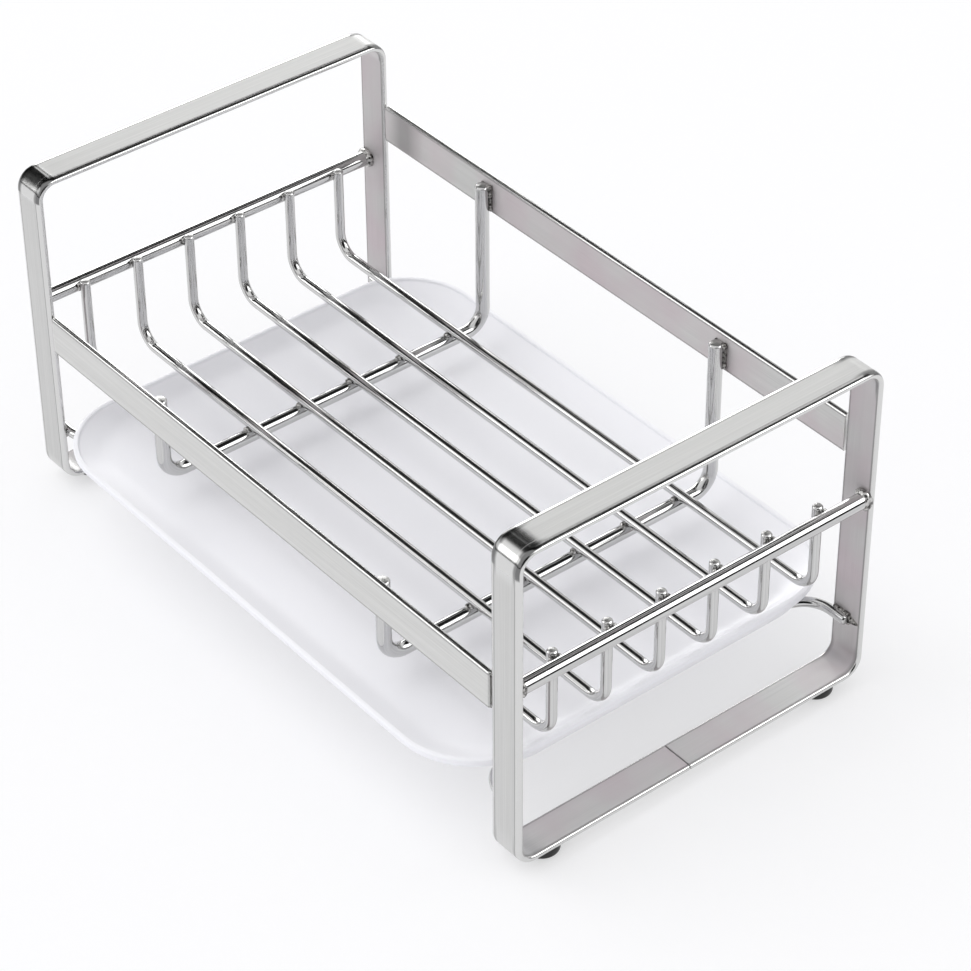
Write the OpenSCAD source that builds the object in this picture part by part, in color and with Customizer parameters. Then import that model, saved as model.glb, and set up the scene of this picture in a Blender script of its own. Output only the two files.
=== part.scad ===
// Sink caddy for sponges and rags: two strip end frames, two flat rails, a basket of bent
// wires and a loose drip tray that slides out from under the basket.
// X runs along the length, -Y is the front and Z is up from the counter.

/* [End frames] */
// Overall length, over the outer edges of the two end frames
frame_len = 182.9; // [150:0.1:260]
// Overall depth, over the outer faces of an end frame
frame_depth = 101.6; // [90:0.1:150]
// Overall height, from the counter to the top of an end frame
frame_high = 88.9; // [84:0.1:130]
// Width of the flat strip that an end frame is bent from
strip_w = 9.2; // [7:0.1:14]
// Thickness of that strip
strip_t = 1.6; // [1.2:0.1:2.4]
// Outer radius of the strip's four bends
strip_bend_r = 5; // [3.5:0.1:12]
// Where the strip's two ends meet in the bottom run, measured back from its middle
seam_offset = -1.5; // [-20:0.5:20]
// Width of the groove that shows where the strip's ends are butt welded
seam_w = 0.5; // [0.3:0.1:1]
// Depth of that groove
seam_deep = 0.3; // [0.1:0.05:0.5]

/* [Rails] */
// Height of the flat front and back rails
rail_h = 10; // [6:0.1:16]
// Thickness of the rails
rail_t = 1.5; // [1:0.1:2.4]
// Top edge of the front rail above the centre line of the basket floor
front_rail_rise = 21.4; // [16:0.1:26]
// Top edge of the back rail above the centre line of the basket floor
back_rail_rise = 40.2; // [30:0.1:50]
// Bevel on the outer corners of a rail's ends, which leaves a groove for the weld
rail_bevel = 0.8; // [0.2:0.1:1.2]

/* [Crossbars] */
// Diameter of the round bar that ties an end frame together and carries the long wires
bar_d = 3.8; // [3:0.1:6]
// Centre of the crossbars above the centre line of the basket floor
bar_rise = 21.8; // [14:0.1:30]

/* [Basket wires] */
// Diameter of the six long wires
wire_d = 2.5; // [2:0.1:3.5]
// Centre line radius of their bends
wire_bend_r = 5.5; // [3:0.1:10]
// From a rail's inner face to the centre of the nearest long wire
wire_edge_gap = 11.55; // [9.5:0.05:16]
// How far the tips of the long wires stand above the crossbar's centre
wire_tip_rise = 2.2; // [0.5:0.1:6]
// Diameter of the two cross wires under the floor
cross_d = 3.5; // [2.5:0.1:5]
// Centre line radius of their bends
cross_bend_r = 5.5; // [3.5:0.1:7]
// Distance between the two cross wires
cross_spacing = 83.6; // [50:0.1:120]
// How far the tips of the cross wires stay below the top edge of their rail
cross_tip_drop = 2.1; // [0.5:0.1:5]
// Chamfer on every cut wire end
tip_chamfer = 0.4; // [0.2:0.05:0.8]
// How deep two welded wires sink into each other
weld_sink = 0.15; // [0.05:0.05:0.3]

/* [Tray supports] */
// Diameter of the wire brackets that carry the drip tray
support_d = 2.5; // [2:0.1:3.5]
// Centre line of the brackets above the counter
support_z = 17; // [12:0.1:30]
// Centre line radius of their bends
support_bend_r = 8; // [4:0.1:14]
// From the strip's inner edge in to the bracket's long run
support_reach = 7.25; // [5:0.05:14]
// From the strip's outer edge in to the bracket's tips
support_tip_inset = 3.5; // [1:0.1:5]

/* [Drip tray] */
// Width of the tray from front to back, wider than the rack so that fingers reach it
tray_wide = 115.5; // [100:0.5:140]
// Height of the tray
tray_h = 4.6; // [4:0.1:10]
// Wall thickness of the tray
tray_wall = 1.3; // [0.8:0.1:1.6]
// Width of the ramps that rise to the front and back rims
ramp_w = 6.5; // [4:0.1:20]
// How far the steep end walls lean out
end_draft = 1.4; // [0.5:0.1:3]
// How far the soft corner inside reaches in from the end walls
end_cove = 2.4; // [0.5:0.1:6]
// Height of the upright lip above the ramps
lip_h = 1.9; // [1.65:0.05:3]
// How far that lip leans out
lip_draft = 0.2; // [0.1:0.05:0.5]
// Corner radius of the rim, seen from above
rim_corner_r = 20; // [10:0.5:35]
// Corner radius of the floor, seen from above
floor_corner_r = 17; // [8:0.5:30]
// Clearance between the tray's ends and the end frames
tray_end_gap = 1.95; // [0.5:0.05:4]
// Gap between the tray and the brackets that it rides on
tray_ride_gap = 0.25; // [0.2:0.05:0.5]
// Headroom between the tray's rim and the cross wires
tray_headroom = 3.1; // [1:0.1:6]

/* [Feet] */
// Diameter of the four rubber feet
foot_d = 8.4; // [5:0.1:9]
// Height of the feet
foot_h = 2.5; // [1.5:0.1:6]
// Rounding of the edge that they stand on
foot_round = 0.8; // [0.3:0.1:1.2]
// From an end frame's outer face in to the centre of a foot
foot_inset = 10.3; // [9.5:0.1:30]

/* [Hidden] */
$fn = 48;
// Points along each corner of the tray's rings
corner_steps = 16;
// How much longer a cut is than what it cuts through
cut = 1;

// Centre of the strip's width and its inner edge, measured from the middle of the rack
strip_mid_x = frame_len/2 - strip_w/2;
strip_in_x = frame_len/2 - strip_w;
strip_in_y = frame_depth/2 - strip_t;
rail_in_y = frame_depth/2 - rail_t;

// The stack that sets the height of the basket: brackets, tray, cross wires, long wires
tray_z = support_z + support_d/2 + tray_ride_gap;
cross_z = tray_z + tray_h + tray_headroom + cross_d/2;
floor_z = cross_z + cross_d/2 + wire_d/2 - weld_sink;
bar_z = floor_z + bar_rise;

// The crossbar's outer side is flush with the strip's outer edge, and the wires stand inside it
bar_x = frame_len/2 - bar_d/2;
wire_leg_x = bar_x - bar_d/2 - wire_d/2 + weld_sink;
wire_pitch = 2*(rail_in_y - wire_edge_gap)/5;
cross_leg_y = rail_in_y - cross_d/2 + weld_sink;

support_x = strip_in_x - support_reach;
support_arm_y = strip_in_y - support_d/2 + weld_sink;

// The tray's outer rings as [half length, half width, corner radius, height], floor first
tray_half = strip_in_x - tray_end_gap;
tray_rings = [
    [tray_half - end_draft, tray_wide/2 - ramp_w, floor_corner_r, 0],
    [tray_half - lip_draft, tray_wide/2 - lip_draft, rim_corner_r - lip_draft, tray_h - lip_h],
    [tray_half, tray_wide/2, rim_corner_r, tray_h]];

// A rectangle with round corners, standing on the X axis
module rounded_rect(wide, high, r) {
    translate([-wide/2 + r, 0]) square([wide - 2*r, high]);
    translate([-wide/2, r]) square([wide, high - 2*r]);
    for (x = [-1, 1], y = [r, high - r])
        translate([x*(wide/2 - r), y]) circle(r);
}

// Puts a piece that is drawn for the right end at the left end when side is -1
module at_side(side) {
    mirror([side < 0 ? 1 : 0, 0, 0]) children();
}

// Turns a flat drawing upright: its X becomes Y, its Y becomes Z and its Z becomes X
module upright() {
    rotate([90, 0, 90]) children();
}

// A leg of wire that stands on the XY plane, with a chamfered tip
module wire_leg(d, high) {
    cylinder(d = d, h = high - tip_chamfer);
    translate([0, 0, high - tip_chamfer]) cylinder(d1 = d, d2 = d - 2*tip_chamfer, h = tip_chamfer);
}

// One end of a bent wire: half of the straight run, a quarter bend and a leg that ends at rise
module wire_end(d, half_span, rise, bend) {
    rotate([0, 90, 0]) cylinder(d = d, h = half_span - bend);
    translate([half_span - bend, 0, bend]) rotate([90, 0, 0]) rotate([0, 0, -90])
        rotate_extrude(angle = 90) translate([bend, 0]) circle(d = d);
    translate([half_span, 0, bend]) wire_leg(d, rise - bend);
}

// A wire along X with both ends bent up, each to its own height above the run's centre line
module bent_wire(d, half_span, left_rise, right_rise, bend) {
    wire_end(d, half_span, right_rise, bend);
    mirror([1, 0, 0]) wire_end(d, half_span, left_rise, bend);
}

// One flat strip bent into a closed loop, with its butt weld in the bottom run
module end_frame(side) {
    high = frame_high - foot_h;
    color("silver") at_side(side) translate([strip_in_x, 0, foot_h]) upright() difference() {
        linear_extrude(strip_w) difference() {
            rounded_rect(frame_depth, high, strip_bend_r);
            translate([0, strip_t]) rounded_rect(2*strip_in_y, high - 2*strip_t, strip_bend_r - strip_t);
        }
        for (face = [0, strip_t])
            translate([seam_offset, face, strip_w/2])
                cube([seam_w, 2*seam_deep, strip_w + cut], center = true);
    }
}

// A flat bar between the end frames, flush with their outer faces, drawn for the back
module rail(top) {
    outer = frame_depth/2;
    color("gainsboro") translate([0, 0, top - rail_h]) linear_extrude(rail_h) polygon([
        [-strip_in_x, rail_in_y], [strip_in_x, rail_in_y],
        [strip_in_x, outer - rail_bevel], [strip_in_x - rail_bevel, outer],
        [-strip_in_x + rail_bevel, outer], [-strip_in_x, outer - rail_bevel]]);
}

module front_rail() {
    mirror([0, 1, 0]) rail(floor_z + front_rail_rise);
}

module back_rail() {
    rail(floor_z + back_rail_rise);
}

// The round bar between the two uprights of an end frame
module crossbar(side) {
    color("silver") translate([side*bar_x, -strip_in_y, bar_z]) rotate([-90, 0, 0])
        cylinder(d = bar_d, h = 2*strip_in_y);
}

// One of the six long wires of the basket floor, counted from the front
module long_wire(number) {
    rise = bar_rise + wire_tip_rise;
    color("lightgray") translate([0, (number - 3.5)*wire_pitch, floor_z])
        bent_wire(wire_d, wire_leg_x, rise, rise, wire_bend_r);
}

// A wire under the floor, from the front rail to the higher back rail
module cross_wire(side) {
    lift = floor_z - cross_z - cross_tip_drop;
    color("lightgray") translate([side*cross_spacing/2, 0, cross_z]) rotate([0, 0, 90])
        bent_wire(cross_d, cross_leg_y, front_rail_rise + lift, back_rail_rise + lift, cross_bend_r);
}

// A flat wire bracket whose two arms are welded inside the uprights and carry the tray
module tray_support(side) {
    arm = frame_len/2 - support_tip_inset - support_x;
    color("lightgray") at_side(side) translate([support_x, 0, support_z]) upright()
        bent_wire(support_d, support_arm_y, arm, arm, support_bend_r);
}

// Points of one ring of the tray, anticlockwise from the right
function ring_points(ring) = [
    for (corner = [0:3], step = [0:corner_steps])
        let (a = 90*(corner + step/corner_steps),
             sx = corner == 0 || corner == 3 ? 1 : -1,
             sy = corner < 2 ? 1 : -1)
        [sx*(ring[0] - ring[2]) + ring[2]*cos(a), sy*(ring[1] - ring[2]) + ring[2]*sin(a), ring[3]]];

// A closed skin over a list of rings, from the middle of the first to the middle of the last
module skin(rings) {
    count = 4*(corner_steps + 1);
    last = len(rings) - 1;
    points = [for (ring = rings) each ring_points(ring)];
    walls = [for (level = [0:last - 1], i = [0:count - 1])
        let (a = level*count + i, b = level*count + (i + 1)%count)
        each [[a, a + count, b], [b, a + count, b + count]]];
    first_cap = [for (i = [0:count - 1]) i];
    last_cap = [for (i = [count - 1:-1:0]) last*count + i];
    polyhedron(points = points, faces = concat(walls, [first_cap, last_cap]), convexity = 4);
}

// A shallow dish: flat floor, gentle ramps at the front and back, steep ends and a small lip
module drip_tray() {
    inner_rings = [for (i = [2:-1:0])
        let (ring = tray_rings[i], cove = i == 0 ? end_cove : 0)
        [ring[0] - tray_wall - cove, ring[1] - tray_wall, ring[2] - tray_wall,
            min(ring[3] + tray_wall, tray_h)]];
    color("whitesmoke") translate([0, 0, tray_z]) skin(concat(tray_rings, inner_rings));
}

// A rubber foot under the middle of the strip, with a rounded edge on the counter
module foot(side, end) {
    r = foot_d/2;
    color("dimgray") translate([side*strip_mid_x, end*(frame_depth/2 - foot_inset), 0])
        rotate_extrude() {
            square([r - foot_round, foot_h]);
            translate([0, foot_round]) square([r, foot_h - foot_round]);
            intersection() {
                translate([r - foot_round, foot_round]) circle(foot_round);
                square([r, foot_h]);
            }
        }
}

end_frame(-1);  // left_end_frame
end_frame(1);  // right_end_frame
front_rail();
back_rail();
crossbar(-1);  // left_crossbar
crossbar(1);  // right_crossbar
long_wire(1);  // long_wire_1
long_wire(2);  // long_wire_2
long_wire(3);  // long_wire_3
long_wire(4);  // long_wire_4
long_wire(5);  // long_wire_5
long_wire(6);  // long_wire_6
cross_wire(-1);  // left_cross_wire
cross_wire(1);  // right_cross_wire
tray_support(-1);  // left_tray_support
tray_support(1);  // right_tray_support
drip_tray();
foot(-1, -1);  // front_left_foot
foot(1, -1);  // front_right_foot
foot(-1, 1);  // back_left_foot
foot(1, 1);  // back_right_foot
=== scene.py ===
import math

import bmesh
import bpy
import numpy as np
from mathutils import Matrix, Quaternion, Vector, noise


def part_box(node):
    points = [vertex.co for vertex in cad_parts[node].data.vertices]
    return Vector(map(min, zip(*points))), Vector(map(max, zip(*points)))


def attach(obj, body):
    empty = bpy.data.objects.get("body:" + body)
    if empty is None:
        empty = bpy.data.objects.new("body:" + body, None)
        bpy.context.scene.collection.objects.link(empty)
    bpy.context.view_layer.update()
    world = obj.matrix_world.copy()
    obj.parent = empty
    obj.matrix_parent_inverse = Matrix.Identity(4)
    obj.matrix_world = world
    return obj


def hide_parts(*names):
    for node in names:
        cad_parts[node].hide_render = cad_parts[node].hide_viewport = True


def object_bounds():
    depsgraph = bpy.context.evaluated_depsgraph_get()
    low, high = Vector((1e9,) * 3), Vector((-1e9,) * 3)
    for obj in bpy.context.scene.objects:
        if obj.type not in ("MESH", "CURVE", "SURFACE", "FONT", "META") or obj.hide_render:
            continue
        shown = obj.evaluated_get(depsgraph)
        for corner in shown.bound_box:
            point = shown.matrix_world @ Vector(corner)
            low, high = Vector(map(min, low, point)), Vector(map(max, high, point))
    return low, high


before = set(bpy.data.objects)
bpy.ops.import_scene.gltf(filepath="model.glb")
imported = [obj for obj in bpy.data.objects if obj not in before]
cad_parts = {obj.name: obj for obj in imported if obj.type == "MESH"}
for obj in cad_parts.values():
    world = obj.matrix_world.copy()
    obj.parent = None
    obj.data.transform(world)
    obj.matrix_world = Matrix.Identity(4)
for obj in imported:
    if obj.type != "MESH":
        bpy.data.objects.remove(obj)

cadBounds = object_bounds()
mm = 0.001
xAxis, yAxis, zAxis = Vector((1, 0, 0)), Vector((0, 1, 0)), Vector((0, 0, 1))
ends = {"left": -1, "right": 1}
nearBend = (0.4, 0.9, 1.5, 2.2, 3.0, 3.8, 4.6)  # extra stations beside a bend, in mm
nearEdge = (0.3, 0.9)  # extra points beside the rounded edges of a flat bar, in mm
hairStep = 0.001  # keeps the stations at the end of a bend apart, in mm
heatCore = 0.2  # the heat tint is full within this share of its reach, and ends as far beyond the reach
cutRim = 0.7  # how much the rim of a cut end shows of the cut
weldSpots = []  # (place in mm, how far its heat tint reaches in mm), filled in before the steel is shaped


def toLinear(hexColour):
    parts = [int(hexColour[i:i + 2], 16)/255 for i in (1, 3, 5)]
    return tuple(c/12.92 if c <= 0.04045 else ((c + 0.055)/1.055)**2.4 for c in parts) + (1.0,)


# settings: an input by its name or number, or one of the node's own settings. Colours are written as hex, and
# "From" and "To" give both ends of a range. links: input -> (node, output)
def addNode(tree, kind, settings, links={}):
    node = tree.nodes.new("ShaderNode" + kind)
    for key, value in settings.items():
        if key == "stops":
            for place, colour in value[1:-1]:
                node.color_ramp.elements.new(place)
            for element, (place, colour) in zip(node.color_ramp.elements, value):
                element.position, element.color = place, toLinear(colour)
        elif key in ("From", "To"):
            node.inputs[key + " Min"].default_value, node.inputs[key + " Max"].default_value = value
        elif isinstance(key, int) or key in node.inputs:
            node.inputs[key].default_value = toLinear(value) if isinstance(value, str) else value
        else:
            setattr(node, key, value)
    for key, (source, output) in links.items():
        tree.links.new(source.outputs[output], node.inputs[key])
    return node


def newMaterial(name):
    material = bpy.data.materials.new(name)
    material.use_nodes = True
    material.node_tree.nodes.clear()
    return material, material.node_tree


def placeObject(name, data):
    holder = bpy.data.objects.new(name, data)
    bpy.context.scene.collection.objects.link(holder)
    return holder


# Stations (u, v, du, dv, along, bent) down a line of corners, each inner corner rounded to the bend radius.
# Extra stations stand at the nearEnds distances from both ends, and close beside every bend. A bend's polish
# runs out over the fade distance on the straights beside it.
def bentPath(corners, bend, step, nearEnds=(), fade=1.8, bendSteps=14):
    points = [np.array(c, float) for c in corners]
    stations, along, at = [], 0.0, points[0]
    for k in range(1, len(points)):
        ahead = (points[k] - points[k - 1])/np.linalg.norm(points[k] - points[k - 1])
        last = k == len(points) - 1
        turn = 0.0
        if not last:
            after = (points[k + 1] - points[k])/np.linalg.norm(points[k + 1] - points[k])
            turn = math.atan2(ahead[0]*after[1] - ahead[1]*after[0], ahead @ after)
        reach = bend*abs(math.tan(turn/2))
        length = float(np.linalg.norm(points[k] - ahead*reach - at))
        count = max(1, math.ceil(length/step))
        marks = {round(length*i/count, 4) for i in range(count)}
        marks |= {m for m in (nearEnds if k == 1 else nearBend) if m < length/2}
        marks |= {round(length - m, 4) for m in (nearEnds if last else nearBend) if m < length/2}
        for m in sorted(marks):
            away = min(m if k > 1 else length, length if last else length - m)
            polish = max(0.0, 1 - away/fade)
            stations.append((*(at + ahead*m), *ahead, along + m, polish*polish*(3 - 2*polish)))
        along += length
        at = at + ahead*length
        if last:
            stations.append((*at, *ahead, along, 0.0))
            continue
        left = np.array((-ahead[1], ahead[0]))*math.copysign(bend, turn)
        for i in range(bendSteps + 1):
            a = turn*i/bendSteps
            c, s = math.cos(a), math.sin(a)
            spun = np.array(((c, -s), (s, c)))
            place, facing = at + left - spun @ left, spun @ ahead
            stations.append((*place, *facing, along + bend*abs(a), 1.0))
        at = place + facing*hairStep
        along += bend*abs(turn) + hairStep
    return stations


def roundSection(radius, sides=24):
    return [(radius*math.cos(2*math.pi*i/sides), radius*math.sin(2*math.pi*i/sides)) for i in range(sides)]


# Flat bar: a runs over the width and b through the thickness, from lowB to highB. The edges of the lowB face
# may be rolled over a wider strip than those of the highB face.
def flatSection(width, lowB, highB, edge, rolled=0.0, steps=8):
    edge = min(edge, (highB - lowB)/2 - 0.01)
    section = []
    for sa, sb, start in ((1, 1, 0), (-1, 1, 90), (-1, -1, 180), (1, -1, 270)):
        wide = edge if sb > 0 else max(edge, rolled)
        middle, face = (highB - edge, highB) if sb > 0 else (lowB + edge, lowB)
        for i in range(steps + 1):
            t = math.radians(start + 90*i/steps)
            section.append((sa*(width/2 - wide) + wide*math.cos(t), middle + edge*math.sin(t)))
        if sa*sb > 0:  # points beside each rounded edge keep the marks on it narrow
            beside = [sa*(width/2 - wide - inside) for inside in nearEdge]
            section += [(a, face) for a in beside + [-a for a in reversed(beside)]]
    return section


# Sweeps a section down the stations. Keeps for each point where it would lie if the bar were straight
# (grain), the direction across the bar (across), whether it is in a bend (bent) and on a cut end (cut).
def sweepBar(path, origin, uAxis, vAxis, sectionAt, closed=False):
    side = uAxis.cross(vAxis)
    points, grain, across, bent, faces = [], [], [], [], []
    cut = {}
    for u, v, du, dv, along, inBend in path:
        inward = side.cross(uAxis*du + vAxis*dv)
        centre = origin + uAxis*u + vAxis*v
        ring = sectionAt(along)
        for a, b in ring:
            points.append(centre + side*a + inward*b)
            grain.append((a, b, along))
            across.append(side)
            bent.append(inBend)
    n, rings = len(ring), len(path)
    if closed:
        rings -= 1
        points, grain, across, bent = points[:-n], grain[:-n], across[:-n], bent[:-n]
    for r in range(rings if closed else rings - 1):
        for i in range(n):
            low, high = r*n, (r + 1) % rings*n
            faces.append((low + i, low + (i + 1) % n, high + (i + 1) % n, high + i))
    if not closed:
        for r in (0, rings - 1):
            centre = len(points)
            points.append(sum(points[r*n:r*n + n], Vector())/n)
            grain.append((0, 0, path[r][4]))
            across.append(side)
            bent.append(0.0)
            faces += [(centre, r*n + i, r*n + (i + 1) % n) for i in range(n)]
            cut.update({centre: 1.0, **{r*n + i: cutRim for i in range(n)}})
    marks = [cut.get(i, 0.0) for i in range(len(points))]
    return points, faces, {"grain": grain, "across": across, "bent": bent, "cut": marks}


# Turns points in mm into a Blender object with smooth sides and crisp corners
def makePiece(name, points, faces, kept, material, body, node=None, crease=40):
    mesh = bpy.data.meshes.new(name)
    mesh.from_pydata([tuple(p*mm for p in point) for point in points], [], faces)
    places = np.array([tuple(p) for p in points], float)
    heat = np.zeros(len(places))
    for spot, reach in weldSpots:
        distance = np.linalg.norm(places - np.array(spot), axis=1)/reach
        heat = np.maximum(heat, np.clip(1 + heatCore - distance, 0, 1))
    for key, values in {**kept, "heat": heat}.items():
        vector = len(np.shape(values)) == 2
        attribute = mesh.attributes.new(key, "FLOAT_VECTOR" if vector else "FLOAT", "POINT")
        attribute.data.foreach_set("vector" if vector else "value", np.array(values, np.float32).ravel())
    edit = bmesh.new()
    edit.from_mesh(mesh)
    bmesh.ops.recalc_face_normals(edit, faces=edit.faces)
    for face in edit.faces:
        face.smooth = True
    for edge in edit.edges:
        edge.smooth = len(edge.link_faces) == 2 and edge.calc_face_angle(0) < math.radians(crease)
    edit.to_mesh(mesh)
    edit.free()
    mesh.materials.append(material)
    piece = placeObject(name, mesh)
    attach(piece, body)
    if node:
        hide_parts(node)
    return piece


def cadBox(node):
    low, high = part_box(node)
    return low/mm, high/mm


# Heat tint beside a weld, from none through straw to blue grey
def tintStops(look):
    clear, straw, blue = look["tintPlaces"]
    return [(0.0, "#FFFFFF"), (clear, "#FFFFFF"), (straw, look["strawTint"]), (blue, look["blueTint"])]


# 304 stainless strip, ground on a belt along its length: lengthwise lines spread the reflections across the
# strip. The bends and the rolled edges are left bright, so they mirror the room. The inner faces are tinted
# mauve in clouds. One dark colour paints dark reflections along the edges and on the bends, painted shade in
# the weld seam and a dark patch on the rails.
stripLook = {
    "steel": "#E5E5E4", "steelDark": "#D3D3D2", "toneRange": (0.38, 0.92), "lineWidth": 0.30,
    "lineLength": 26.0, "lineDepth": 0.004, "bandsWider": 6, "bandsLonger": 3, "bandShare": 0.3,
    "mauve": "#DAD2D5", "cloudSize": 22.0, "cloudRange": (0.38, 0.62), "bendSteel": "#D6D6D5",
    "arcRoughness": 0.3, "arcRange": (0.6, 0.67), "strawTint": "#A39682", "blueTint": "#3F3F44",
    "tintPlaces": (0.45, 0.66, 0.88), "burnished": "#2E2E30", "groundRoughness": 0.68,
    "roughnessSpread": 0.07, "lineRange": (0.3, 0.7), "brightRoughness": 0.16, "spread": 0.5}


def groundStripSteel(name, look):
    material, tree = newMaterial(name)
    marks = {key: addNode(tree, "Attribute", {"attribute_name": key})
             for key in ("grain", "across", "bent", "bright", "burnished", "inner", "heat")}
    place = (marks["grain"], "Vector")
    fine, long = 1/look["lineWidth"], 1/look["lineLength"]
    lines = addNode(tree, "Mapping", {"Scale": (fine, fine, long)}, {"Vector": place})
    streaks = addNode(tree, "TexNoise", {"Scale": 1.0, "Detail": 3.0, "Roughness": 0.6},
                      {"Vector": (lines, "Vector")})
    coarse = fine/look["bandsWider"]
    wide = addNode(tree, "Mapping", {"Scale": (coarse, coarse, long/look["bandsLonger"])}, {"Vector": place})
    bands = addNode(tree, "TexNoise", {"Scale": 1.0, "Detail": 2.0}, {"Vector": (wide, "Vector")})
    both = addNode(tree, "Math", {"operation": "MULTIPLY_ADD", 1: look["bandShare"]},
                   {0: (bands, "Fac"), 2: (streaks, "Fac")})
    tone = addNode(tree, "MapRange", {"From": look["toneRange"]}, {"Value": (both, 0)})
    steel = addNode(tree, "Mix", {"data_type": "RGBA", 6: look["steelDark"], 7: look["steel"]},
                    {0: (tone, 0)})
    clouds = addNode(tree, "TexNoise", {"Scale": 1/look["cloudSize"], "Detail": 2.0}, {"Vector": place})
    patches = addNode(tree, "MapRange", {"From": look["cloudRange"]}, {"Value": (clouds, "Fac")})
    cloudy = addNode(tree, "Math", {"operation": "MULTIPLY"}, {0: (patches, 0), 1: (marks["inner"], "Fac")})
    shaded = addNode(tree, "Mix", {"data_type": "RGBA", 7: look["mauve"]}, {0: (cloudy, 0), 6: (steel, 2)})
    polished = addNode(tree, "Math", {"operation": "MAXIMUM"},
                       {0: (marks["bent"], "Fac"), 1: (marks["bright"], "Fac")})
    # a few belt lines run on over the bends as fine pale arcs
    arcs = addNode(tree, "MapRange", {"From": look["arcRange"], "To": (1.0, 1 - look["arcRoughness"])},
                   {"Value": (streaks, "Fac")})
    mirror = addNode(tree, "Math", {"operation": "MULTIPLY"}, {0: (polished, 0), 1: (arcs, 0)})
    plain = addNode(tree, "Mix", {"data_type": "RGBA", 7: look["bendSteel"]},
                    {0: (mirror, 0), 6: (shaded, 2)})
    # painted dark reflections and painted shade: the dark lines beside the edges, the dark bend edges and
    # crescents, the shade in the weld seam, and the rails' dark patch
    lined = addNode(tree, "Mix", {"data_type": "RGBA", 7: look["burnished"]},
                    {0: (marks["burnished"], "Fac"), 6: (plain, 2)})
    tint = addNode(tree, "ValToRGB", {"stops": tintStops(look)}, {"Fac": (marks["heat"], "Fac")})
    colour = addNode(tree, "Mix", {"data_type": "RGBA", "blend_type": "MULTIPLY", 0: 1.0},
                     {6: (lined, 2), 7: (tint, 0)})
    middle, spread = look["groundRoughness"], look["roughnessSpread"]
    ground = addNode(tree, "MapRange", {"From": look["lineRange"], "To": (middle - spread, middle + spread)},
                     {"Value": (streaks, "Fac")})
    roughness = addNode(tree, "Mix", {"data_type": "FLOAT", 3: look["brightRoughness"]},
                        {0: (mirror, 0), 2: (ground, 0)})
    calm = addNode(tree, "Math", {"operation": "SUBTRACT", 0: 1.0, "use_clamp": True}, {1: (mirror, 0)})
    bump = addNode(tree, "Bump", {"Distance": look["lineDepth"]*mm},
                   {"Strength": (calm, 0), "Height": (both, 0)})
    tangent = addNode(tree, "VectorTransform",
                      {"vector_type": "VECTOR", "convert_from": "OBJECT", "convert_to": "WORLD"},
                      {"Vector": (marks["across"], "Vector")})
    shader = addNode(tree, "BsdfPrincipled", {"Metallic": 1.0, "Anisotropic": look["spread"]},
                     {"Base Color": (colour, 2), "Roughness": (roughness, 0), "Normal": (bump, 0),
                      "Tangent": (tangent, 0)})
    addNode(tree, "OutputMaterial", {}, {"Surface": (shader, 0)})
    return material


# 304 stainless wire, drawn and then electropolished: nearly a mirror, with faint drawing lines along it, a
# straw to grey tint beside the welds and dull sheared tips
wireLook = {
    "steel": "#D0D0CF", "steelDark": "#C2C2C2", "toneRange": (0.35, 0.65), "lineWidth": 0.35,
    "lineLength": 30.0, "lineDepth": 0.002, "orangePeelSize": 1.4, "orangePeelDepth": 0.0012,
    "bumpShown": 0.6, "strawTint": "#A89C8C", "blueTint": "#4A4A4E", "tintPlaces": (0.4, 0.65, 0.88),
    "tintPatchy": 0.12, "roughness": 0.085, "roughnessSpread": 0.05, "scaleRoughness": 0.16,
    "noiseRange": (0.3, 0.7), "cutSteel": "#B4B4B2", "cutRoughness": 0.3, "cutGrain": 0.5, "cutDepth": 0.12}


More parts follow.
